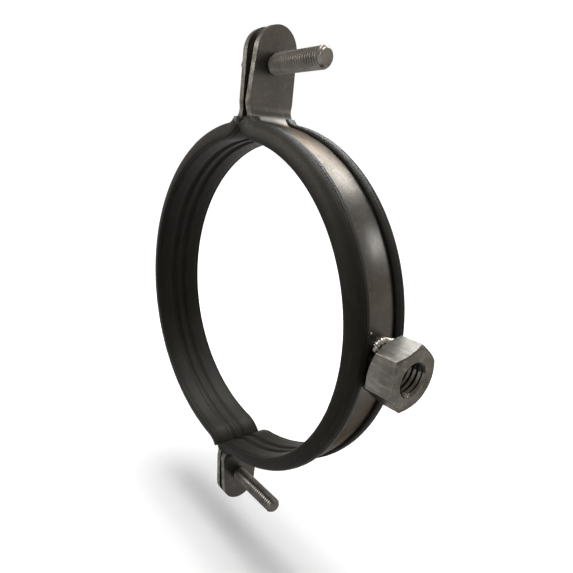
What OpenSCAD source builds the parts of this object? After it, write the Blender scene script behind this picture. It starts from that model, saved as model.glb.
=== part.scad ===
// Split ring hanger: a two-piece pipe clamp of bent steel strip with rubber
// linings, a welded hexagon boss and two clamping screws.
// Origin at the middle of the ring. X points out through the boss, Y lies
// along the pipe and Z points up through the upper pair of lugs.

/* [Pipe ring] */
// Radius of the pipe seat, measured on the lands of the lining
bore_r = 55; // [40:0.5:75]
// Width of the steel strip along the pipe
strip_w = 16; // [14:0.5:20]
// Thickness of the steel strip
strip_t = 2; // [1.5:0.1:2.6]

/* [Lugs] */
// Free gap between the facing lugs at their roots
lug_gap = 0.4; // [0.3:0.1:1]
// Reach of each lug tip from the middle of the ring, beyond the strip
lug_reach = 27; // [24:0.5:32]
// Distance of the upper screw holes from the lug tips
upper_edge = 10.2; // [9:0.1:13]
// Distance of the lower screw holes from the lug tips
lower_edge = 11.5; // [9:0.1:13]
// Lean of the upper lugs away from the split, in degrees
upper_lean = 4; // [0:0.5:6]
// Lean of the lower lugs away from the split, in degrees
lower_lean = 2; // [0:0.5:6]
// Inner radius of the bend between the strip and a lug
bend_r = 2; // [1.5:0.1:3]

/* [Lining] */
// Rubber thickness between the pipe and the strip
lining_t = 2.5; // [2:0.1:3.5]
// Rubber beyond each edge of the strip, at the pipe
land_wall = 2.5; // [2:0.1:4]
// Rubber beyond each edge of the strip, at the outer corners of the lips
lip_wall = 1.1; // [0.8:0.1:2]
// Thickness of the lips that grip the strip
lip_t = 0.9; // [0.7:0.1:1.5]
// Reach of each lip in over the strip
lip_reach = 2.6; // [2:0.1:3.5]
// Width of each groove that runs round the pipe seat
groove_w = 2.6; // [1.5:0.1:3]
// Depth of those grooves
groove_d = 0.8; // [0.4:0.1:1]
// Width of the rib between the two grooves
rib_w = 1.8; // [1:0.1:3]
// Gap between the ends of the two linings
lining_end_gap = 0.6; // [0.4:0.1:1.5]

/* [Boss] */
// Width of the hexagon boss across its flats
boss_af = 17; // [16:0.5:19]
// Height of the hexagon
boss_h = 8; // [7:0.1:12]
// Height of the round collar between the strip and the hexagon
collar_h = 3.3; // [2.4:0.1:4]
// Outside radius of that collar
collar_r = 5.2; // [5:0.05:5.3]
// Turn of the hexagon about its own axis, in degrees
boss_turn = 20; // [0:1:59]
// Core radius of the boss thread
boss_core_r = 4.25; // [3.4:0.05:5]
// Radius of the countersink at the mouth of the boss
boss_mouth_r = 5.1; // [5.1:0.05:5.8]
// Radius of the flat ring on the outer face of the boss
boss_face_r = 8.3; // [7.2:0.1:8.4]
// Leg of the weld beads at the foot of the collar
weld_r = 1.6; // [1.2:0.1:2]

/* [Screws] */
// Outside radius of the screw thread
screw_r = 2.95; // [2.4:0.05:3.2]
// Length of a screw below its head
screw_len = 30; // [26:1:40]
// Width of the screw head across its flats
head_af = 10; // [8:0.5:12]
// Height of the screw head
head_h = 2.6; // [2.2:0.1:4]
// Outside radius of a washer
washer_r = 6; // [5.5:0.1:7]
// Thickness of a washer
washer_t = 1; // [0.8:0.1:2]

/* [Clearances] */
// Gap between the rubber and the steel that it wraps
lining_fit = 0.05; // [0.02:0.01:0.2]
// Radial gap round the screw in a tapped hole
tapped_fit = 0.05; // [0.02:0.01:0.1]
// Radial gap round the screw in a plain hole
plain_fit = 0.35; // [0.2:0.05:0.6]
// Gap left between the weld beads and the lips
weld_fit = 0.4; // [0.3:0.1:0.6]
// Gap between a washer and the lug that it rests on
seat_fit = 0.03; // [0.02:0.01:0.1]

/* [Hidden] */
strip_ri = bore_r + lining_t;
strip_ro = strip_ri + strip_t;
lining_w = strip_w + 2 * land_wall;
lip_span = strip_w + 2 * lip_wall;
bare_w = strip_w - 2 * lip_reach;
lip_r = strip_ro + lip_t;
lug_top = strip_ro + lug_reach;
boss_foot_x = strip_ro + collar_h;
boss_face_x = boss_foot_x + boss_h;
boss_corner_r = boss_af / 2 / cos(30);
lining_end_angle = asin(lining_end_gap / 2 / bore_r);
// Slopes and small forms that follow the sizes above
bend_thin = 0.02;
lip_round = 0.5;
chamfer_angle = 30;
point_len = 1.2;
foot_relief = (collar_r - boss_core_r) / 4;
recess_w = 1.1;
recess_d = head_h / 2;
far = 200;
$fn = 96;

// Directions of a lug: along it towards its tip, and across it towards the
// split. Its facing side passes through the point half a gap from the split,
// level with the strip's outer face.
function along(lean) = [sin(lean), cos(lean)];
function inward(lean) = [-cos(lean), sin(lean)];
function facing_offset(lean) = lug_gap / 2 * cos(lean) - strip_ro * sin(lean);

// Middle of the bend, which touches both the ring and the lug
function bend_offset(lean) = facing_offset(lean) + strip_t + bend_r;
function bend_rise(lean) = sqrt(pow(strip_ro + bend_r, 2) - pow(bend_offset(lean), 2));
function bend_centre(lean) = bend_rise(lean) * along(lean) - bend_offset(lean) * inward(lean);

// Where a lug's outer side stands, at a height above the middle of the ring
function outer_x(lean, height) =
    (facing_offset(lean) + strip_t + height * sin(lean)) / cos(lean);

// How far the head's seat stands from the split plane
function seat_x(lean, edge) = outer_x(lean, lug_top - edge + washer_r) + seat_fit;

module ring_2d(inner, outer) {
    difference() {
        circle(outer, $fn = 180);
        circle(inner, $fn = 180);
    }
}

// Side view of a bend and its lug. The bend is a little thinner than the lug
// and the ring, and its ends stand a little inside them.
module bend_and_lug_2d(lean) {
    centre = bend_centre(lean);
    across = inward(lean);
    up = along(lean);
    intersection() {
        translate(centre) ring_2d(bend_r + bend_thin, bend_r + strip_t - bend_thin);
        polygon([centre, [1, 0], centre + strip_ro * across + up]);
    }
    polygon([
        centre + bend_r * across, centre + bend_r * across + lug_top * up,
        centre + (bend_r + strip_t) * across + lug_top * up,
        centre + (bend_r + strip_t) * across]);
}

// Side view of a half strap, its lugs longer than they end up
module half_strap_2d() {
    upper = bend_centre(upper_lean);
    lower = bend_centre(lower_lean);
    intersection() {
        ring_2d(strip_ri, strip_ro);
        polygon([[0, 0], upper, [far, far], [far, -far], [lower[0], -lower[1]]]);
    }
    bend_and_lug_2d(upper_lean);
    mirror([0, 1]) bend_and_lug_2d(lower_lean);
}

// Takes a lug down to its round tip and bores its screw hole
module lug_cut(lean, edge, hole_r) {
    tip_r = strip_w / 2 + 0.02;
    rotate([0, lean, 0])
        difference() {
            translate([-far / 2, -strip_w, lug_top - tip_r]) cube([far, 2 * strip_w, far]);
            translate([0, 0, lug_top - tip_r])
                rotate([0, 90, 0]) cylinder(h = 2 * far, r = tip_r, center = true);
        }
    translate([0, 0, lug_top - edge])
        rotate([0, 90, 0]) cylinder(h = far, r = hole_r, center = true);
}

// Half of the steel ring, on the X side, with a lug at each end
module half_strap(hole_r) {
    difference() {
        rotate([90, 0, 0]) linear_extrude(strip_w, center = true) half_strap_2d();
        lug_cut(upper_lean, upper_edge, hole_r);
        mirror([0, 0, 1]) lug_cut(lower_lean, lower_edge, hole_r);
    }
}

module boss_strap() {
    color("dimgray") half_strap(screw_r + tapped_fit);
}

module plain_strap() {
    color("dimgray") mirror([1, 0, 0]) half_strap(screw_r + plain_fit);
}

// Section of the lining: radius across, distance along the pipe upwards
module lining_2d() {
    half_w = lining_w / 2;
    half_span = lip_span / 2;
    groove_y = rib_w / 2;
    difference() {
        polygon([
            [bore_r, lip_round - half_w], [bore_r + lip_round, -half_w],
            [lip_r - lip_round, -half_span], [lip_r, lip_round - half_span],
            [lip_r, half_span - lip_round], [lip_r - lip_round, half_span],
            [bore_r + lip_round, half_w], [bore_r, half_w - lip_round]]);
        translate([strip_ri - lining_fit, -strip_w / 2 - lining_fit])
            square([strip_t + 2 * lining_fit, strip_w + 2 * lining_fit]);
        polygon([
            [strip_ro, -bare_w / 2], [lip_r, -bare_w / 2 - lip_round],
            [far, -bare_w / 2 - lip_round], [far, bare_w / 2 + lip_round],
            [lip_r, bare_w / 2 + lip_round], [strip_ro, bare_w / 2]]);
        for (side = [-1, 1])
            polygon([
                [0, side * groove_y], [bore_r, side * groove_y],
                [bore_r + groove_d, side * (groove_y + groove_d / 2)],
                [bore_r + groove_d, side * (groove_y + groove_w - groove_d / 2)],
                [bore_r, side * (groove_y + groove_w)], [0, side * (groove_y + groove_w)]]);
    }
}

// Cuts the lips back where the strip bends out into a lug
module lip_cutback(lean) {
    end_x = bend_centre(lean)[0] + lining_fit;
    base_z = strip_ri - lining_fit;
    width = strip_w + 2 * lining_fit;
    translate([-end_x, -width / 2, base_z]) cube([2 * end_x, width, far]);
}

module half_lining() {
    difference() {
        rotate([90, 0, 0])
            rotate([0, 0, lining_end_angle - 90])
                rotate_extrude(angle = 180 - 2 * lining_end_angle, $fn = 180) lining_2d();
        lip_cutback(upper_lean);
        mirror([0, 0, 1]) lip_cutback(lower_lean);
    }
}

module boss_lining() {
    color([0.13, 0.13, 0.12]) half_lining();
}

module plain_lining() {
    color([0.13, 0.13, 0.12]) mirror([1, 0, 0]) half_lining();
}

// Section of the cut that chamfers an end of the hexagon, at X = 0 and facing up
module chamfer_2d() {
    rim_r = boss_corner_r + 1;
    slope = tan(chamfer_angle);
    polygon([
        [rim_r, -(rim_r - boss_face_r) * slope], [boss_face_r - 1 / slope, 1],
        [rim_r + 1, 1], [rim_r + 1, -(rim_r - boss_face_r) * slope]]);
}

// Hexagon with both ends chamfered
module hexagon_block() {
    difference() {
        translate([0, 0, boss_foot_x])
            rotate([0, 0, boss_turn + 90]) cylinder(h = boss_h, r = boss_corner_r, $fn = 6);
        rotate_extrude() translate([0, boss_face_x]) chamfer_2d();
        rotate_extrude() translate([0, boss_foot_x]) mirror([0, 1]) chamfer_2d();
    }
}

// The hexagon on its round collar, which stands on the strip
module hex_boss() {
    sink_h = boss_mouth_r - boss_core_r;
    color("gray")
        difference() {
            rotate([0, 90, 0]) {
                difference() {
                    union() {
                        hexagon_block();
                        translate([0, 0, strip_ro - 1]) cylinder(h = collar_h + 2, r = collar_r);
                    }
                    rotate_extrude() polygon([
                        [0, strip_ro - 2], [boss_core_r + foot_relief + 2, strip_ro - 2],
                        [boss_core_r, strip_ro + foot_relief],
                        [boss_core_r, boss_face_x - sink_h],
                        [boss_mouth_r + 1, boss_face_x + 1], [0, boss_face_x + 1]]);
                }
            }
            rotate([90, 0, 0]) cylinder(h = far, r = strip_ro, center = true, $fn = 180);
        }
}

// Beads of weld round the collar's foot, above it and below it
module weld_beads() {
    clear_w = bare_w - 2 * weld_fit;
    color("darkgray")
        difference() {
            intersection() {
                rotate([0, 90, 0])
                    rotate_extrude() polygon([
                        [collar_r, strip_ro - 2], [collar_r + weld_r + 2, strip_ro - 2],
                        [collar_r, strip_ro + weld_r]]);
                cube([far, clear_w, far], center = true);
            }
            rotate([90, 0, 0]) cylinder(h = far, r = strip_ro, center = true, $fn = 180);
        }
}

// One screw lying along X, its head on the far side of the plain lug
module screw(lean, edge) {
    under_head = -(seat_x(lean, edge) + washer_t + seat_fit);
    tip_x = under_head + screw_len;
    head_corner_r = head_af / 2 / cos(30);
    translate([0, 0, lug_top - edge]) rotate([0, 90, 0]) {
        rotate_extrude() polygon([
            [0, under_head - head_h / 4], [screw_r, under_head - head_h / 4],
            [screw_r, tip_x - point_len], [screw_r - point_len / 2, tip_x], [0, tip_x]]);
        difference() {
            intersection() {
                translate([0, 0, under_head - head_h])
                    cylinder(h = head_h, r = head_corner_r, $fn = 6);
                translate([0, 0, under_head - head_h])
                    cylinder(h = 2 * head_h, r1 = head_af / 2 - 0.2, r2 = head_af / 2 + 3 * head_h);
            }
            for (turn = [0, 90])
                translate([0, 0, under_head - head_h])
                    rotate([0, 0, turn])
                        cube([head_af * 0.6, recess_w, 2 * recess_d], center = true);
        }
    }
}

module washer(lean, edge) {
    translate([-seat_x(lean, edge) - washer_t, 0, lug_top - edge])
        rotate([0, 90, 0])
            difference() {
                cylinder(h = washer_t, r = washer_r);
                translate([0, 0, -1]) cylinder(h = washer_t + 2, r = screw_r + plain_fit);
            }
}

module upper_screw() {
    color("silver") screw(upper_lean, upper_edge);
}

module lower_screw() {
    color("silver") mirror([0, 0, 1]) screw(lower_lean, lower_edge);
}

module upper_washer() {
    color("lightgray") washer(upper_lean, upper_edge);
}

module lower_washer() {
    color("lightgray") mirror([0, 0, 1]) washer(lower_lean, lower_edge);
}

boss_strap();
plain_strap();
boss_lining();
plain_lining();
hex_boss();
weld_beads();
upper_screw();
lower_screw();
upper_washer();
lower_washer();
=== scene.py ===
import math

import bmesh
import bpy
import numpy as np
from mathutils import Matrix, Vector


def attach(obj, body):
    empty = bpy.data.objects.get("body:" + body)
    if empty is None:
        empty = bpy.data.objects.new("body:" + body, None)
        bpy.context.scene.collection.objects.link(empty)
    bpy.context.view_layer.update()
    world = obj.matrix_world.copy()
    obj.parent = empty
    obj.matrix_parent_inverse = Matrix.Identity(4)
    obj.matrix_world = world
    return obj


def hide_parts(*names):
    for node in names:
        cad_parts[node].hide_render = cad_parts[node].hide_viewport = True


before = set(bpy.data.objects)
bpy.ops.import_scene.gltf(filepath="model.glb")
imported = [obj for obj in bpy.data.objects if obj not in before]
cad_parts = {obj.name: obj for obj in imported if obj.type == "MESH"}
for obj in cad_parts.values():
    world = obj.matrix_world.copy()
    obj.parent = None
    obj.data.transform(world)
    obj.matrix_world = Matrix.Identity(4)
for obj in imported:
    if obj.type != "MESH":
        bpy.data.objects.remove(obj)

# Split ring hanger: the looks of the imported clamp. Sizes are in millimetres, as in the CAD.
MM = 0.001
TAU = 2 * math.pi
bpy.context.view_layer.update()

# Strip and lugs: the bends are rounder than the CAD's, and the lugs narrow towards their tips
STRIP_RI, STRIP_RO, STRIP_W, STRIP_T = 57.5, 59.5, 16.0, 2.0
LUG_GAP, LUG_TOP = 0.4, 86.5
UPPER_LEAN, LOWER_LEAN = math.radians(4), math.radians(2)
UPPER_Z, LOWER_Z = 76.3, 75.0
BEND_R, LIP_TURN = 6.5, math.radians(46)
FOOT_HALF, TIP_HALF, CROWN = 8.5, 7.6, 0.80
EDGE_ROUND = 0.32

# Screws and washers
SCREW_R, SCREW_LEN, PITCH = 2.95, 30.0, 1.0
THREAD_ROOT, SHANK_R, SHANK_LEN = 2.42, 2.62, 3.0
TAPPED_FIT, PLAIN_FIT, SEAT_FIT = 0.05, 0.35, 0.03
HEAD_AF, HEAD_H, HEAD_RIM = 10.0, 2.6, 0.2
DISH_DEEP, CROSS_DEEP, CROSS_REACH, CROSS_HALF = 0.35, 1.3, 3.0, 0.55
WASHER_R, WASHER_T = 6.0, 1.0

# Lining
BORE_R, LIP_R, LINING_W, BARE_W = 55.0, 60.4, 21.0, 10.8
RIB_HALF, GROOVE_W, GROOVE_DEEP, POCKET_FIT = 0.9, 2.6, 0.8, 0.05
SPLIT_GAP = 0.3

# Boss, collar and weld
BOSS_AF, BOSS_FOOT_X, BOSS_FACE_X, BOSS_TURN = 17.0, 62.8, 70.8, math.radians(20)
BOSS_CORE_R, BOSS_MOUTH_R, BOSS_FACE_R, BOSS_CREST_R, BOSS_PITCH = 4.25, 5.1, 8.3, 5.02, 1.5
CHAMFER = math.radians(30)
COLLAR_R = 5.2
BEAD_R, BEAD_OUT, BEAD_LIFT, BEAD_SPREAD = 1.55, 0.85, 0.75, 1.25
BEAD_SIDE, BEAD_REACH = 4.95, 2.3
SPATTER = ((-4.3, 9.3, 0.36), (2.6, 9.6, 0.20), (3.9, -8.6, 0.24))

# Stage: the floor's height in metres, and light levels
FLOOR_Z, FLOOR_SPAN = -0.105, 30
ROOM_LIGHT = 0.34
FLOOR_IN_GLOSS = 0.70


# Mesh helpers

def mesh_object(name, verts, faces):
    mesh = bpy.data.meshes.new(name)
    mesh.from_pydata([tuple(v) for v in verts], [], faces)
    mesh.update()
    obj = bpy.data.objects.new(name, mesh)
    bpy.context.scene.collection.objects.link(obj)
    return obj


def fix_normals(obj, merge=False):
    bm = bmesh.new()
    bm.from_mesh(obj.data)
    if merge:
        bmesh.ops.remove_doubles(bm, verts=bm.verts, dist=1e-7)
    bmesh.ops.recalc_face_normals(bm, faces=bm.faces)
    bm.to_mesh(obj.data)
    bm.free()
    return obj


def apply_modifiers(obj):
    graph = bpy.context.evaluated_depsgraph_get()
    mesh = bpy.data.meshes.new_from_object(obj.evaluated_get(graph))
    obj.modifiers.clear()
    obj.data = mesh
    return obj


def boolean(obj, tool, operation="DIFFERENCE"):
    mod = obj.modifiers.new("cut", "BOOLEAN")
    mod.operation = operation
    mod.solver = "EXACT"
    mod.object = tool
    apply_modifiers(obj)
    bpy.data.objects.remove(tool)
    return obj


def soften(obj, width, segments=3, angle=30, slot=-1):
    mod = obj.modifiers.new("bevel", "BEVEL")
    mod.material = slot
    mod.width = width * MM
    mod.segments = segments
    mod.limit_method = "ANGLE"
    mod.angle_limit = math.radians(angle)
    mod.use_clamp_overlap = True
    mod.harden_normals = True
    for poly in obj.data.polygons:
        poly.use_smooth = True
    apply_modifiers(obj)
    return obj


def weighted(obj, angle=35):
    # Flat faces keep their own normals beside rounded edges.
    smooth(obj, angle)
    mod = obj.modifiers.new("normals", "WEIGHTED_NORMAL")
    mod.mode = "FACE_AREA"
    mod.weight = 50
    mod.keep_sharp = True
    return apply_modifiers(obj)


def smooth(obj, angle=35):
    for poly in obj.data.polygons:
        poly.use_smooth = True
    obj.data.set_sharp_from_angle(angle=math.radians(angle))
    return obj


def turn_over(obj, *axes):
    # Mirrors the mesh along each axis named; two axes together are a half turn.
    scale = Matrix.Identity(4)
    for axis in axes:
        scale[axis][axis] = -1
    obj.data.transform(scale)
    return obj


def tube_faces(rows, count, closed=False, base=0):
    # Quads between rows of points, each row a ring; closed also joins the last row to the first.
    faces = []
    for i in range(rows if closed else rows - 1):
        a = base + i * count
        b = base + (i + 1) % rows * count
        for j in range(count):
            k = (j + 1) % count
            faces.append((a + j, a + k, b + k, b + j))
    return faces


def prism_along_x(name, r, x0, x1, z=0.0, sides=64, turn=0.0):
    verts = []
    for x in (x0, x1):
        for k in range(sides):
            a = turn + TAU * k / sides
            verts.append((x * MM, r * math.cos(a) * MM, (z + r * math.sin(a)) * MM))
    faces = tube_faces(2, sides)
    faces += [tuple(reversed(range(sides))), tuple(range(sides, 2 * sides))]
    return fix_normals(mesh_object(name, verts, faces))


def revolve_x(name, profile, sides=96, z=0.0):
    # Profile points are (x, radius) and form a closed loop round the axis.
    verts = []
    for k in range(sides):
        a = TAU * k / sides
        for x, r in profile:
            verts.append((x * MM, r * math.cos(a) * MM, (z + r * math.sin(a)) * MM))
    return fix_normals(mesh_object(name, verts, tube_faces(sides, len(profile), True)), True)


def box_tool(x0, x1, y0, y1, z0, z1):
    verts = [(x * MM, y * MM, z * MM) for x in (x0, x1) for y in (y0, y1) for z in (z0, z1)]
    faces = [(0, 1, 3, 2), (4, 6, 7, 5), (0, 4, 5, 1), (2, 3, 7, 6), (0, 2, 6, 4), (1, 5, 7, 3)]
    return fix_normals(mesh_object("tool", verts, faces))


def join(obj, *others):
    bm = bmesh.new()
    bm.from_mesh(obj.data)
    for other in others:
        bm.from_mesh(other.data)
        bpy.data.objects.remove(other)
    bm.to_mesh(obj.data)
    bm.free()
    return obj


# Material helpers

def new_material(name):
    mat = bpy.data.materials.new(name)
    mat.use_nodes = True
    nodes, links = mat.node_tree.nodes, mat.node_tree.links
    shader = nodes["Principled BSDF"]
    coord = nodes.new("ShaderNodeTexCoord")
    return mat, nodes, links, shader, coord.outputs["Object"]


def noise_at(nodes, links, vector, scale, detail=3.0, rough=0.5, stretch=(1, 1, 1)):
    mapping = nodes.new("ShaderNodeMapping")
    mapping.inputs["Scale"].default_value = stretch
    links.new(vector, mapping.inputs["Vector"])
    tex = nodes.new("ShaderNodeTexNoise")
    tex.inputs["Scale"].default_value = scale
    tex.inputs["Detail"].default_value = detail
    tex.inputs["Roughness"].default_value = rough
    links.new(mapping.outputs["Vector"], tex.inputs["Vector"])
    return tex.outputs["Fac"]


def ramp(nodes, links, value, stops):
    node = nodes.new("ShaderNodeValToRGB")
    elements = node.color_ramp.elements
    while len(elements) < len(stops):
        elements.new(0.5)
    for element, (place, colour) in zip(elements, stops):
        element.position = place
        element.color = (*colour, 1)
    links.new(value, node.inputs["Fac"])
    return node.outputs["Color"]


def fit_range(nodes, links, value, low, high, to_low, to_high):
    node = nodes.new("ShaderNodeMapRange")
    node.inputs["From Min"].default_value = low
    node.inputs["From Max"].default_value = high
    node.inputs["To Min"].default_value = to_low
    node.inputs["To Max"].default_value = to_high
    links.new(value, node.inputs["Value"])
    return node.outputs["Result"]


def mix_colour(nodes, links, factor, a, b):
    node = nodes.new("ShaderNodeMix")
    node.data_type = "RGBA"
    links.new(factor, node.inputs[0])
    for value, socket in ((a, node.inputs[6]), (b, node.inputs[7])):
        if isinstance(value, tuple):
            socket.default_value = (*value, 1)
        else:
            links.new(value, socket)
    return node.outputs[2]


def add_bump(nodes, links, height, strength, distance, below=None):
    node = nodes.new("ShaderNodeBump")
    node.inputs["Strength"].default_value = strength
    node.inputs["Distance"].default_value = distance
    links.new(height, node.inputs["Height"])
    if below is not None:
        links.new(below, node.inputs["Normal"])
    return node.outputs["Normal"]


def combine(nodes, links, operation, *values):
    node = nodes.new("ShaderNodeMath")
    node.operation = operation
    for socket, value in zip(node.inputs, values):
        if isinstance(value, float):
            socket.default_value = value
        else:
            links.new(value, socket)
    return node.outputs[0]


# Strip steel: dull plated strip with faint roll lines, small scratches and cloudy tone
def strip_steel():
    mat, nodes, links, shader, place = new_material("strip_steel")
    cloud = noise_at(nodes, links, place, 90, 4, 0.6)
    fine = noise_at(nodes, links, place, 900, 3, 0.6)
    scratch = noise_at(nodes, links, place, 260, 5, 0.7, (1, 14, 1))
    tone = ramp(nodes, links, cloud, [
        (0.30, (0.076, 0.070, 0.064)), (0.55, (0.096, 0.089, 0.081)), (0.75, (0.118, 0.110, 0.101))])
    specks = fit_range(nodes, links, fine, 0.56, 0.72, 0.0, 0.35)
    colour = mix_colour(nodes, links, specks, tone, (0.17, 0.16, 0.145))
    links.new(colour, shader.inputs["Base Color"])
    shader.inputs["Metallic"].default_value = 0.92
    shader.inputs["Specular Tint"].default_value = (0.35, 0.32, 0.29, 1)
    rough = fit_range(nodes, links, scratch, 0.3, 0.7, 0.26, 0.38)
    links.new(rough, shader.inputs["Roughness"])
    normal = add_bump(nodes, links, fine, 0.12, 0.00006)
    normal = add_bump(nodes, links, scratch, 0.10, 0.00008, normal)
    links.new(normal, shader.inputs["Normal"])
    return mat


# Boss steel: turned and plated, lighter than the strip, with tool marks
def boss_steel():
    mat, nodes, links, shader, place = new_material("boss_steel")
    cloud = noise_at(nodes, links, place, 160, 4, 0.6)
    fine = noise_at(nodes, links, place, 1200, 3, 0.6)
    marks = noise_at(nodes, links, place, 300, 4, 0.65, (0.35, 2.5, 2.5))
    tone = ramp(nodes, links, cloud, [
        (0.30, (0.074, 0.068, 0.061)), (0.50, (0.108, 0.100, 0.090)), (0.70, (0.158, 0.148, 0.135))])
    specks = fit_range(nodes, links, marks, 0.56, 0.70, 0.0, 0.55)
    colour = mix_colour(nodes, links, specks, tone, (0.26, 0.245, 0.225))
    links.new(colour, shader.inputs["Base Color"])
    shader.inputs["Metallic"].default_value = 0.95
    shader.inputs["Specular Tint"].default_value = (0.40, 0.37, 0.34, 1)
    rough = fit_range(nodes, links, marks, 0.3, 0.7, 0.24, 0.38)
    links.new(rough, shader.inputs["Roughness"])
    normal = add_bump(nodes, links, fine, 0.14, 0.00006)
    normal = add_bump(nodes, links, marks, 0.16, 0.00010, normal)
    links.new(normal, shader.inputs["Normal"])
    return mat


# Screw steel: plated, a little lighter than the strip, with a fine grain
def screw_steel():
    mat, nodes, links, shader, place = new_material("screw_steel")
    cloud = noise_at(nodes, links, place, 240, 4, 0.6)
    fine = noise_at(nodes, links, place, 1600, 2, 0.5)
    tone = ramp(nodes, links, cloud, [
        (0.30, (0.115, 0.108, 0.098)), (0.60, (0.165, 0.155, 0.141)), (0.80, (0.225, 0.213, 0.196))])
    links.new(tone, shader.inputs["Base Color"])
    shader.inputs["Metallic"].default_value = 0.95
    shader.inputs["Specular Tint"].default_value = (0.45, 0.42, 0.38, 1)
    rough = fit_range(nodes, links, fine, 0.3, 0.7, 0.28, 0.38)
    links.new(rough, shader.inputs["Roughness"])
    normal = add_bump(nodes, links, fine, 0.05, 0.00003)
    links.new(normal, shader.inputs["Normal"])
    return mat


# Weld metal: rippled, with heat tint from straw to blue-grey
def weld_steel():
    mat, nodes, links, shader, place = new_material("weld_steel")
    cloud = noise_at(nodes, links, place, 420, 3, 0.5)
    fine = noise_at(nodes, links, place, 1500, 3, 0.6)
    tone = ramp(nodes, links, cloud, [
        (0.32, (0.19, 0.16, 0.125)), (0.50, (0.37, 0.345, 0.31)), (0.68, (0.27, 0.265, 0.26))])
    links.new(tone, shader.inputs["Base Color"])
    shader.inputs["Metallic"].default_value = 0.95
    rough = fit_range(nodes, links, fine, 0.3, 0.7, 0.22, 0.40)
    links.new(rough, shader.inputs["Roughness"])
    normal = add_bump(nodes, links, cloud, 0.30, 0.00025)
    normal = add_bump(nodes, links, fine, 0.15, 0.00006, normal)
    links.new(normal, shader.inputs["Normal"])
    return mat


# Lining rubber: moulded black rubber, slightly dusty, with a low sheen
def lining_rubber():
    mat, nodes, links, shader, place = new_material("lining_rubber")
    cloud = noise_at(nodes, links, place, 70, 4, 0.6)
    fine = noise_at(nodes, links, place, 1400, 3, 0.65)
    streak = noise_at(nodes, links, place, 220, 3, 0.6, (0.4, 6, 0.4))
    tone = ramp(nodes, links, cloud, [
        (0.30, (0.0090, 0.0084, 0.0070)), (0.55, (0.0140, 0.0130, 0.0108)),
        (0.80, (0.0215, 0.0198, 0.0165))])
    dust = fit_range(nodes, links, streak, 0.52, 0.75, 0.0, 0.35)
    colour = mix_colour(nodes, links, dust, tone, (0.046, 0.042, 0.035))
    links.new(colour, shader.inputs["Base Color"])
    shader.inputs["Specular IOR Level"].default_value = 0.11
    shader.inputs["Specular Tint"].default_value = (0.95, 0.86, 0.74, 1)
    rough = fit_range(nodes, links, fine, 0.3, 0.7, 0.44, 0.62)
    links.new(rough, shader.inputs["Roughness"])
    normal = add_bump(nodes, links, fine, 0.16, 0.00008)
    normal = add_bump(nodes, links, streak, 0.08, 0.00010, normal)
    links.new(normal, shader.inputs["Normal"])
    return mat


# Sheared sides and rounded edges of the strip: plating worn through in places, and a lighter tone that is a
# painted edge highlight
def strip_edge():
    mat, nodes, links, shader, place = new_material("strip_edge")
    wear_and_glint = noise_at(nodes, links, place, 350, 4, 0.65)
    # Lighter tones: worn plating and painted edge highlight
    tone = ramp(nodes, links, wear_and_glint, [
        (0.36, (0.060, 0.055, 0.048)), (0.52, (0.125, 0.117, 0.105)), (0.72, (0.300, 0.285, 0.262))])
    links.new(tone, shader.inputs["Base Color"])
    shader.inputs["Metallic"].default_value = 0.95
    rough = fit_range(nodes, links, wear_and_glint, 0.3, 0.7, 0.34, 0.22)
    links.new(rough, shader.inputs["Roughness"])
    return mat


# Cut thread inside the boss: painted shade, a near-black steel that stands in for the shade deep in the bore
def bore_painted_shade():
    mat, nodes, links, shader, place = new_material("bore_painted_shade")
    shade_mottle = noise_at(nodes, links, place, 500, 4, 0.6)
    # Painted shade: near-black tones, mottled by the noise
    tone = ramp(nodes, links, shade_mottle, [
        (0.35, (0.012, 0.011, 0.010)), (0.55, (0.024, 0.022, 0.019)), (0.75, (0.044, 0.040, 0.035))])
    links.new(tone, shader.inputs["Base Color"])
    shader.inputs["Metallic"].default_value = 0.85
    rough = fit_range(nodes, links, shade_mottle, 0.3, 0.7, 0.30, 0.46)
    links.new(rough, shader.inputs["Roughness"])
    return mat


STRIP_EDGE = strip_edge()
BORE_PAINTED_SHADE = bore_painted_shade()
STRIP_STEEL = strip_steel()
BOSS_STEEL = boss_steel()
SCREW_STEEL = screw_steel()
WELD_STEEL = weld_steel()
LINING_RUBBER = lining_rubber()


def dress(obj, material, slot, body, *nodes):
    if len(obj.data.materials) < 2:
        obj.data.materials.clear()
        obj.data.materials.append(material)
    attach(obj, body)
    if nodes:
        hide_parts(*nodes)
    return obj


# Steel halves: a crowned strip, bent out at both ends into round-ended lugs

def facing_offset(lean):
    return LUG_GAP / 2 * math.cos(lean) - STRIP_RO * math.sin(lean)


def bend_offset(lean):
    return facing_offset(lean) + STRIP_T + BEND_R


def bend_centre(lean):
    off = bend_offset(lean)
    rise = math.sqrt((STRIP_RO + BEND_R) ** 2 - off ** 2)
    return (rise * math.sin(lean) + off * math.cos(lean),
            rise * math.cos(lean) - off * math.sin(lean))


def bend_turn(lean):
    # Angles round the bend's centre, from the ring's end to the lug's end.
    cx, cz = bend_centre(lean)
    start = math.atan2(-cz, -cx)
    end = math.atan2(math.sin(lean), -math.cos(lean))
    turn = (end - start) % TAU
    return start, turn if turn < math.pi else turn - TAU


def ramp_up(t):
    t = min(1.0, max(0.0, t))
    return t * t * (3 - 2 * t)


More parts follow.
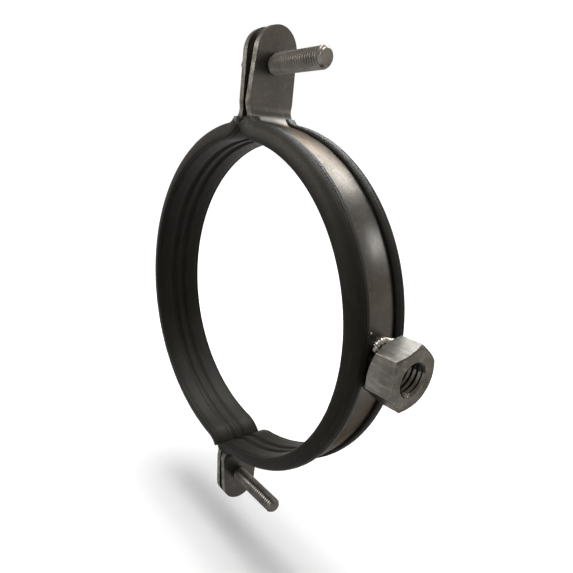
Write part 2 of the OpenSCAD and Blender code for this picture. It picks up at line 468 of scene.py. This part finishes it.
def quarter_stations(lean, ring_steps=46, bend_steps=20, lug_steps=12, tip_steps=28):
    # From the middle of the ring up to the lug tip: inner point, outer point, half width, crown.
    cx, cz = bend_centre(lean)
    top = math.atan2(cz, cx)
    along = (math.sin(lean), math.cos(lean))
    half = STRIP_W / 2
    rows = []
    for i in range(ring_steps + 1):
        a = top * i / ring_steps
        d = (math.cos(a), math.sin(a))
        # The crown dies out over the last five steps before the bend
        crown = min(1.0, (ring_steps - i) / 5)
        rows.append(((STRIP_RI * d[0], STRIP_RI * d[1]), (STRIP_RO * d[0], STRIP_RO * d[1]), half, crown))
    start, turn = bend_turn(lean)
    inner, outer = BEND_R + STRIP_T, BEND_R
    for i in range(1, bend_steps + 1):
        a = start + turn * i / bend_steps
        d = (math.cos(a), math.sin(a))
        # The strip widens into the lug over the last three tenths of the bend
        wide = half + (FOOT_HALF - half) * ramp_up((i / bend_steps - 0.7) / 0.3)
        rows.append(((cx + inner * d[0], cz + inner * d[1]), (cx + outer * d[0], cz + outer * d[1]),
                     wide, 0.0))
    root_in, root_out = rows[-1][0], rows[-1][1]
    lug_start = root_in[0] * along[0] + root_in[1] * along[1]
    straight = LUG_TOP - TIP_HALF - lug_start
    reach = [straight * i / lug_steps for i in range(1, lug_steps + 1)]
    reach += [straight + TIP_HALF * math.sin(math.pi / 2 * i / tip_steps) for i in range(1, tip_steps + 1)]
    for s in reach:
        beyond = max(0.0, s - straight)
        wide = math.sqrt(max(0.0, TIP_HALF ** 2 - beyond * beyond))
        if s < straight:
            wide = FOOT_HALF + (TIP_HALF - FOOT_HALF) * s / straight
        rows.append(((root_in[0] + s * along[0], root_in[1] + s * along[1]),
                     (root_out[0] + s * along[0], root_out[1] + s * along[1]), wide, 0.0))
    return rows


def strap_mesh(name, spans=12):
    upper = quarter_stations(UPPER_LEAN)
    lower = [((p[0], -p[1]), (q[0], -q[1]), w, c) for p, q, w, c in quarter_stations(LOWER_LEAN)]
    rows = list(reversed(lower))[:-1] + upper
    verts, faces, loops = [], [], []
    for inner, outer, wide, crown in rows:
        if wide < 0.02:
            # The very tip is one point on each face
            loops.append(([len(verts)] * (spans + 1), [len(verts) + 1] * (spans + 1)))
            verts += [(point[0] * MM, 0.0, point[1] * MM) for point in (inner, outer)]
            continue
        sides = []
        for point, rise in ((inner, 0.0), (outer, CROWN)):
            line = []
            r = math.hypot(point[0], point[1])
            for j in range(spans + 1):
                t = 2 * j / spans - 1
                drop = rise * crown * t * t
                scale = (r - drop) / r
                line.append(len(verts))
                verts.append((point[0] * scale * MM, t * wide * MM, point[1] * scale * MM))
            sides.append(line)
        loops.append((sides[0], sides[1]))

    def add(face):
        clean = [v for i, v in enumerate(face) if v != face[i - 1]]
        if len(clean) >= 3:
            faces.append(tuple(clean))

    for (a_in, a_out), (b_in, b_out) in zip(loops, loops[1:]):
        for j in range(spans):
            add((a_in[j], a_in[j + 1], b_in[j + 1], b_in[j]))
            add((a_out[j + 1], a_out[j], b_out[j], b_out[j + 1]))
        add((a_in[0], b_in[0], b_out[0], a_out[0]))
        add((a_in[-1], a_out[-1], b_out[-1], b_in[-1]))
    return fix_normals(mesh_object(name, verts, faces))


def half_strap(name, hole_r, plain):
    obj = strap_mesh(name)
    if plain:
        fix_normals(turn_over(obj, 0))
    for height in (UPPER_Z, -LOWER_Z):
        boolean(obj, prism_along_x("hole", hole_r, -20, 20, height))
    obj.data.materials.clear()
    obj.data.materials.append(STRIP_STEEL)
    obj.data.materials.append(STRIP_EDGE)
    # Sheared sides, round ends and the bevels (slot 1) take the edge material: worn plating and painted edge
    # highlight
    lug_start = 0.0685
    for poly in obj.data.polygons:
        sheared = abs(poly.normal.y) > 0.6
        round_end = abs(poly.center.z) > lug_start and abs(poly.normal.x) < 0.6
        poly.material_index = 1 if sheared or round_end else 0
    return soften(obj, EDGE_ROUND, 3, 40, 1)


dress(half_strap("nut_side_strap", SCREW_R + TAPPED_FIT, False),
      STRIP_STEEL, "strip_steel", "boss_half", "boss_strap")
dress(half_strap("plain_side_strap", SCREW_R + PLAIN_FIT, True),
      STRIP_STEEL, "strip_steel", "plain_half", "plain_strap")


# Rubber linings: one rounded section swept round each half

def lining_section():
    # Points are (height over the strip's outer face, place along the pipe), from the middle outwards.
    half = LINING_W / 2
    bare = BARE_W / 2
    seat = BORE_R - STRIP_RO
    top = LIP_R - STRIP_RO
    rib, wide, deep = RIB_HALF, GROOVE_W, GROOVE_DEEP
    points = [(seat + 0.10, 0.0), (seat, rib - 0.35)]
    points += [(seat + 0.08, rib - 0.08), (seat + 0.30, rib + 0.08), (seat + deep - 0.12, rib + 0.34)]
    points += [(seat + deep, rib + 0.62), (seat + deep, rib + wide - 0.62)]
    points += [(seat + deep - 0.12, rib + wide - 0.34), (seat + 0.30, rib + wide - 0.08)]
    points += [(seat + 0.08, rib + wide + 0.10), (seat, rib + wide + 0.40)]
    points += [(seat, 5.2), (seat, 7.4), (seat, half - 1.30), (seat + 0.10, half - 1.12)]
    # A narrow bead along the edge of the seat, then the rounded side that runs up into the lip
    points += [(seat + 0.12, half - 0.95), (seat, half - 0.78), (seat, half - 0.45)]
    points += [(seat + 0.12, half - 0.18), (seat + 0.40, half - 0.04), (seat + 0.80, half)]
    points += [(seat + 1.6, half - 0.06), (seat + 2.4, half - 0.22), (seat + 3.2, half - 0.50)]
    points += [(seat + 3.9, half - 0.86), (seat + 4.5, half - 1.30), (seat + 4.95, half - 1.82)]
    points += [(seat + 5.22, half - 2.35), (top - 0.06, half - 2.75)]
    # A crease, then the flat of the lip, which thins out over the strip
    points += [(top - 0.03, half - 3.00), (top - 0.20, half - 3.14), (top, half - 3.30)]
    points += [(top, half - 3.75), (top - 0.10, bare + 0.75), (top - 0.28, bare + 0.30)]
    points += [(top - 0.52, bare + 0.04), (-0.14, bare)]
    # Under the lip, round the strip's edge and back across under the strip
    points += [(-0.20, bare + 0.4), (-0.40, STRIP_W / 2 + POCKET_FIT)]
    points += [(-STRIP_T - POCKET_FIT, STRIP_W / 2 + POCKET_FIT), (-STRIP_T - POCKET_FIT, 0.0)]
    return points


def lining_rows(lean, ring_steps=60, bend_steps=16):
    # Each row: foot on the strip's outer face, outward direction, and how much of the lip is left.
    cx, cz = bend_centre(lean)
    top = math.atan2(cz, cx)
    rows = []
    for i in range(ring_steps + 1):
        a = top * i / ring_steps
        d = (math.cos(a), math.sin(a))
        rows.append(((STRIP_RO * d[0], STRIP_RO * d[1]), d, 1.0))
    start, turn = bend_turn(lean)
    for i in range(1, bend_steps + 1):
        t = i / bend_steps
        a = start + math.copysign(LIP_TURN, turn) * i / bend_steps
        d = (math.cos(a), math.sin(a))
        fade = max(0.10, math.sqrt(1 - t ** 2))
        rows.append(((cx + BEND_R * d[0], cz + BEND_R * d[1]), (-d[0], -d[1]), fade))
    return rows


def lining_mesh(name):
    upper = lining_section()
    lower = [(h, -y) for h, y in reversed(upper)]
    section = upper + lower[1:-1]
    rows = [((p[0], -p[1]), (d[0], -d[1]), fade) for p, d, fade in reversed(lining_rows(LOWER_LEAN))][:-1]
    rows += lining_rows(UPPER_LEAN)
    verts = []
    count = len(section)
    for point, d, fade in rows:
        for h, y in section:
            h *= fade if h > 0 else 1
            verts.append(((point[0] + h * d[0]) * MM, y * MM, (point[1] + h * d[1]) * MM))
    faces = tube_faces(len(rows), count)
    faces.append(tuple(range(count)))
    faces.append(tuple(reversed(range(len(verts) - count, len(verts)))))
    return fix_normals(mesh_object(name, verts, faces))


def half_lining(name, plain):
    obj = lining_mesh(name)
    boolean(obj, box_tool(-20, SPLIT_GAP, -20, 20, -90, 90))
    if plain:
        fix_normals(turn_over(obj, 0))
    return smooth(obj, 38)


dress(half_lining("nut_side_lining", False), LINING_RUBBER, "lining_rubber", "boss_half", "boss_lining")
dress(half_lining("plain_side_lining", True), LINING_RUBBER, "lining_rubber", "plain_half", "plain_lining")


# Threads: one helical grid whose turns share their points

def thread_rod(name, minor, major, pitch, x0, x1, sides=56, crest=0.125, root=0.25):
    turns = math.ceil((x1 - x0) / pitch) + 2
    flank = (1 - crest - root) / 2
    shape = [(0.0, minor), (root, minor), (root + flank, major), (root + flank + crest, major)]
    count = len(shape)
    verts, faces = [], []
    total = turns * sides
    for i in range(total + 1):
        a = TAU * i / sides
        for part, r in shape:
            x = x0 - pitch + pitch * (i / sides + part)
            verts.append((x * MM, r * math.cos(a) * MM, r * math.sin(a) * MM))
    for i in range(total):
        for j in range(count - 1):
            a = i * count + j
            faces.append((a, a + count, a + count + 1, a + 1))
        if i + sides <= total:
            # The last point of this turn's profile meets the first point of the next turn's
            a = i * count + count - 1
            b = (i + sides) * count
            if i + 1 + sides <= total:
                faces.append((a, a + count, b + count, b))
    obj = mesh_object(name, verts, faces)
    bm = bmesh.new()
    bm.from_mesh(obj.data)
    edges = [e for e in bm.edges if e.is_boundary]
    bmesh.ops.holes_fill(bm, edges=edges, sides=0)
    bmesh.ops.triangulate(bm, faces=[f for f in bm.faces if len(f.verts) > 4])
    bmesh.ops.recalc_face_normals(bm, faces=bm.faces)
    bm.to_mesh(obj.data)
    bm.free()
    return obj


def lug_face(lean, height):
    # How far out the plain lug's outer face stands at the washer's rim.
    return (facing_offset(lean) + STRIP_T + (height + WASHER_R) * math.sin(lean)) / math.cos(lean)


def screw(name, side, lean, height):
    under_head = -(lug_face(lean, height) + SEAT_FIT + WASHER_T + SEAT_FIT)
    tip = under_head + SCREW_LEN
    start = under_head + SHANK_LEN
    obj = thread_rod(name, THREAD_ROOT, SCREW_R, PITCH, start, tip + 2)
    # Turned tool: keeps the thread between its runout and its chamfered tip
    clip = revolve_x("clip", [
        (start, 0.0), (start, THREAD_ROOT + 0.03), (start + 0.6, SCREW_R + 0.05),
        (tip - 1.15, SCREW_R + 0.05), (tip - 0.08, 2.22), (tip, 2.10), (tip, 0.0)], 64)
    boolean(obj, clip, "INTERSECT")
    smooth(obj, 28)
    shank = revolve_x("shank", [
        (under_head - 1.0, 0.0), (under_head - 1.0, SHANK_R), (under_head + 0.01, SHANK_R),
        (start - 0.5, SHANK_R), (start + 0.1, THREAD_ROOT + 0.02), (start + 0.1, 0.0)], 48)
    join(obj, smooth(shank, 30), hexagon_head(under_head))
    obj.data.transform(Matrix.Translation((0, 0, height * MM)))
    # The lower screw is turned over, not mirrored, so that its thread stays right-handed
    return turn_over(obj, 1, 2) if side < 0 else obj


def hexagon_head(under_head):
    corner = HEAD_AF / 2 / math.cos(math.pi / 6)
    outer_x = under_head - HEAD_H
    head = prism_along_x("head", corner, outer_x, under_head, sides=6)
    rim = HEAD_AF / 2 - HEAD_RIM
    base = rim + HEAD_H * 1.54
    boolean(head, revolve_x("cone", [
        (outer_x, 0.0), (outer_x, rim), (under_head, base), (under_head + 1, base), (under_head + 1, 0.0)]),
        "INTERSECT")
    boolean(head, revolve_x("dish", [
        (outer_x - 1, 0.0), (outer_x - 1, 3.9), (outer_x, 3.5), (outer_x + DISH_DEEP, 3.1),
        (outer_x + DISH_DEEP, 0.0)], 64))
    for wide, tall in ((CROSS_REACH, CROSS_HALF), (CROSS_HALF, CROSS_REACH)):
        boolean(head, box_tool(outer_x - 1, outer_x + CROSS_DEEP, -wide, wide, -tall, tall))
    return soften(head, 0.14, 2, 32)


def washer(name, side, lean, height):
    x1 = -(lug_face(lean, height) + SEAT_FIT)
    x0 = x1 - WASHER_T
    hole = SCREW_R + PLAIN_FIT
    c = 0.16
    obj = revolve_x(name, [
        (x0, hole + c), (x0, WASHER_R - 0.35), (x0 + 0.10, WASHER_R - 0.12), (x0 + 0.35, WASHER_R),
        (x1 - c, WASHER_R), (x1, WASHER_R - c), (x1, hole + c), (x1 - c, hole), (x0 + c, hole)], 80,
        side * height)
    return smooth(obj, 35)


for side, word, lean, height in ((1, "upper", UPPER_LEAN, UPPER_Z), (-1, "lower", LOWER_LEAN, LOWER_Z)):
    piece = screw(f"{word}_threaded_screw", side, lean, height)
    dress(piece, SCREW_STEEL, "screw_steel", f"{word}_clamp_screw", f"{word}_screw")
    piece = washer(f"{word}_turned_washer", side, lean, height)
    dress(piece, SCREW_STEEL, "screw_steel", "plain_half", f"{word}_washer")


# Boss: chamfered hexagon with a countersunk mouth and a cut thread

def boss():
    corner = BOSS_AF / 2 / math.cos(math.pi / 6)
    obj = prism_along_x("threaded_boss", corner, BOSS_FOOT_X, BOSS_FACE_X, sides=6, turn=BOSS_TURN)
    slope = math.tan(CHAMFER)
    rim = corner + 1
    drop = (rim - BOSS_FACE_R) * slope
    for end, way in ((BOSS_FACE_X, 1), (BOSS_FOOT_X, -1)):
        boolean(obj, revolve_x("chamfer", [
            (end - way * drop, rim), (end + way * slope, BOSS_FACE_R - 1), (end + way * 2, BOSS_FACE_R - 1),
            (end + way * 2, rim + 1), (end - way * drop, rim + 1)], 128))
    soften(obj, 0.20, 3, 18)
    boolean(obj, thread_rod("rod", BOSS_CORE_R, BOSS_CREST_R, BOSS_PITCH,
                            BOSS_FOOT_X - 3, BOSS_FACE_X + 3, 64, 0.25, 0.125))
    boolean(obj, revolve_x("sink", [
        (BOSS_FACE_X - 1.0, 0.0), (BOSS_FACE_X - 0.9, BOSS_CORE_R - 0.05),
        (BOSS_FACE_X - 0.05, BOSS_MOUTH_R - 0.06), (BOSS_FACE_X, BOSS_MOUTH_R + 0.02),
        (BOSS_FACE_X + 1, BOSS_MOUTH_R + 1.6), (BOSS_FACE_X + 1, 0.0)]))
    join(obj, collar_mesh())
    obj.data.materials.clear()
    obj.data.materials.append(BOSS_STEEL)
    # The second material is painted shade for the bore
    obj.data.materials.append(BORE_PAINTED_SHADE)
    for poly in obj.data.polygons:
        from_axis = math.hypot(poly.center.y, poly.center.z)
        bore_shaded = from_axis < (BOSS_CORE_R + 0.85) * MM and poly.center.x < (BOSS_FACE_X - 0.25) * MM
        # Painted shade: the bore and the upper half of the countersink take the dark material, while the
        # lower half of the countersink keeps the plain steel as a painted lit side
        sink_lit_half = from_axis < (BOSS_MOUTH_R + 0.05) * MM and poly.normal.x > 0.55 and poly.center.z < 0.001
        poly.material_index = 1 if bore_shaded and not sink_lit_half else 0
    return weighted(obj, 30)


def collar_mesh(sides=96):
    # Thin wall from the strip up to the hexagon, its foot following the strip.
    rows = [(0.0, COLLAR_R), (0.5, COLLAR_R), (1.0, COLLAR_R), (1.0, BOSS_CORE_R), (0.0, BOSS_CORE_R)]
    verts = []
    for k in range(sides):
        a = TAU * k / sides
        for t, r in rows:
            y, z = r * math.cos(a), r * math.sin(a)
            foot = math.sqrt(STRIP_RO ** 2 - z * z) - 0.02
            x = foot + (BOSS_FOOT_X + 0.05 - foot) * t
            verts.append((x * MM, y * MM, z * MM))
    return fix_normals(mesh_object("collar", verts, tube_faces(sides, len(rows), True)))


dress(boss(), BOSS_STEEL, "boss_steel", "boss_half", "hex_boss")


# Weld: rippled beads round the foot of the collar, above it and below it

def weld(ring=16, steps=84, drop_ring=12, drop_rows=5):
    rng = np.random.default_rng(7)
    verts, faces = [], []
    # Each bead stops where its outer edge would pass the bare part of the strip
    limit = math.acos(BEAD_SIDE / (COLLAR_R + BEAD_REACH))
    for sign in (1, -1):
        base = len(verts)
        wobble = 0.0
        for i in range(steps + 1):
            a = sign * (math.pi / 2 + (math.pi / 2 - limit) * (2 * i / steps - 1))
            t = i / steps
            end = min(1.0, 9 * t, 9 * (1 - t)) ** 0.5 if 0 < i < steps else 0.35
            wobble = 0.7 * wobble + 0.05 * float(rng.standard_normal())
            scallop = abs(math.sin(math.pi * i / 6.0))
            r = BEAD_R * end * (0.90 + 0.12 * scallop + wobble)
            for j in range(ring):
                b = TAU * j / ring
                across = COLLAR_R + BEAD_OUT + r * math.cos(b) * BEAD_SPREAD
                lift = BEAD_LIFT + r * math.sin(b)
                y, z = across * math.cos(a), across * math.sin(a)
                x = math.sqrt(STRIP_RO ** 2 - z * z) + lift
                verts.append((x * MM, y * MM, z * MM))
        faces += tube_faces(steps + 1, ring, base=base)
        faces.append(tuple(base + j for j in range(ring)))
        faces.append(tuple(base + steps * ring + j for j in reversed(range(ring))))
    # Spatter left on the strip near the beads
    for y, z, r in SPATTER:
        base = len(verts)
        for i in range(drop_rows):
            e = math.pi / 2 * i / (drop_rows - 1)
            for j in range(drop_ring):
                b = TAU * j / drop_ring
                vy, vz = y + r * math.cos(e) * math.cos(b), z + r * math.cos(e) * math.sin(b)
                x = math.sqrt(STRIP_RO ** 2 - vz * vz) - 0.06 + 0.7 * r * math.sin(e)
                verts.append((x * MM, vy * MM, vz * MM))
        faces += tube_faces(drop_rows, drop_ring, base=base)
        faces.append(tuple(base + j for j in range(drop_ring)))
    return smooth(fix_normals(mesh_object("weld_bead", verts, faces), True), 60)


dress(weld(), WELD_STEEL, "weld_steel", "boss_half", "weld_beads")


# Floor, light and camera

def stage():
    corners = [(x * FLOOR_SPAN, y * FLOOR_SPAN, FLOOR_Z) for x, y in ((-1, -1), (1, -1), (1, 1), (-1, 1))]
    floor = mesh_object("floor", corners, [(0, 1, 2, 3)])
    mat, nodes, links, shader, place = new_material("floor")
    shader.inputs["Roughness"].default_value = 1.0
    shader.inputs["Specular IOR Level"].default_value = 0.0
    path = nodes.new("ShaderNodeLightPath").outputs
    # The camera sees a pale floor, and reflections most of it; other rays find a duller one
    seen = combine(nodes, links, "MULTIPLY_ADD", path["Is Glossy Ray"], FLOOR_IN_GLOSS, path["Is Camera Ray"])
    seen = combine(nodes, links, "MAXIMUM", seen, path["Is Transmission Ray"])
    tone = mix_colour(nodes, links, seen, (0.30, 0.29, 0.275), (0.86, 0.86, 0.86))
    links.new(tone, shader.inputs["Base Color"])
    length = nodes.new("ShaderNodeVectorMath")
    length.operation = "LENGTH"
    links.new(place, length.inputs[0])
    # Away from the object the floor turns white by itself, and near it the shadow stays
    far = fit_range(nodes, links, length.outputs["Value"], 0.11, 0.30, 0.17, 0.90)
    shader.inputs["Emission Color"].default_value = (1, 1, 1, 1)
    links.new(combine(nodes, links, "MULTIPLY", seen, far), shader.inputs["Emission Strength"])
    floor.data.materials.append(mat)


def room():
    world = bpy.data.worlds.new("studio")
    bpy.context.scene.world = world
    world.use_nodes = True
    nodes, links = world.node_tree.nodes, world.node_tree.links
    back = nodes["Background"]
    path = nodes.new("ShaderNodeLightPath").outputs
    glossy = path["Is Glossy Ray"]
    warm = mix_colour(nodes, links, glossy, (1.0, 1.0, 1.0), (1.10, 1.0, 0.90))
    links.new(warm, back.inputs["Color"])
    # Reflections find the upper part of the room darker than the horizon
    coord = nodes.new("ShaderNodeTexCoord")
    split = nodes.new("ShaderNodeSeparateXYZ")
    links.new(coord.outputs["Generated"], split.inputs[0])
    high = fit_range(nodes, links, split.outputs["Z"], 0.05, 0.32, 1.0, 0.42)
    mirror = combine(nodes, links, "MULTIPLY", glossy, high)
    backdrop = combine(nodes, links, "MAXIMUM", path["Is Camera Ray"], path["Is Transmission Ray"])
    seen = combine(nodes, links, "MAXIMUM", mirror, backdrop)
    # Every other ray finds the plain room light
    shown = combine(nodes, links, "MAXIMUM", backdrop, glossy)
    rest = combine(nodes, links, "SUBTRACT", 1.0, shown)
    links.new(combine(nodes, links, "MULTIPLY_ADD", rest, ROOM_LIGHT, seen), back.inputs["Strength"])


def softbox(name, azimuth, elevation, distance, size_x, size_y, watts):
    # Faces the middle of the ring from the given direction; distance and sizes are in metres.
    light = bpy.data.lights.new(name, "AREA")
    light.shape = "RECTANGLE"
    light.size = size_x
    light.size_y = size_y
    light.energy = watts
    obj = bpy.data.objects.new(name, light)
    bpy.context.scene.collection.objects.link(obj)
    a, e = math.radians(azimuth), math.radians(elevation)
    place = Vector((math.cos(a) * math.cos(e), math.sin(a) * math.cos(e), math.sin(e))) * distance
    obj.location = place
    obj.rotation_euler = (-place).to_track_quat("-Z", "Y").to_euler()
    return obj


def camera():
    # Fitted to the photograph: angles in degrees, place in millimetres, focal length and centre in pixels
    frame_px, focal_px, centre_px = 573, 482.57, (223.9, 341.94)
    a, e, roll = math.radians(55.27), math.radians(22.3), math.radians(3.57)
    right = Vector((math.cos(a), math.sin(a), 0))
    back = Vector((math.sin(a) * math.cos(e), -math.cos(a) * math.cos(e), math.sin(e)))
    up = back.cross(right)
    x_axis = right * math.cos(roll) + up * math.sin(roll)
    y_axis = -right * math.sin(roll) + up * math.cos(roll)
    place = (-9.54 * x_axis - 14.63 * y_axis + 177.31 * back) * MM
    data = bpy.data.cameras.new("camera")
    data.sensor_width = 36
    data.sensor_fit = "HORIZONTAL"
    data.lens = focal_px / frame_px * data.sensor_width
    data.shift_x = (frame_px / 2 - centre_px[0]) / frame_px
    data.shift_y = (centre_px[1] - frame_px / 2) / frame_px
    data.clip_start = 0.005
    data.clip_end = 100
    obj = bpy.data.objects.new("camera", data)
    bpy.context.scene.collection.objects.link(obj)
    matrix = Matrix((x_axis, y_axis, back)).transposed().to_4x4()
    matrix.translation = place
    obj.matrix_world = matrix
    bpy.context.scene.camera = obj


stage()
room()
top = softbox("top_softbox", 90, 90, 0.52, 0.30, 0.26, 3.6)
top.rotation_euler = (0, 0, math.radians(40))
# These three show in reflections only, and leave no shadow
back = softbox("back_softbox", 108, 50, 0.50, 0.32, 0.14, 3.1)
side = softbox("side_softbox", 58, 29, 0.50, 0.10, 0.08, 0.28)
fill = softbox("front_fill", -118, 34, 0.60, 0.40, 0.30, 5.0)
for lamp in (back, side, fill):
    lamp.visible_diffuse = False
for lamp in (back, side):
    lamp.data.color = (0.88, 0.94, 1.0)
camera()
bpy.context.scene.view_settings.view_transform = "Standard"
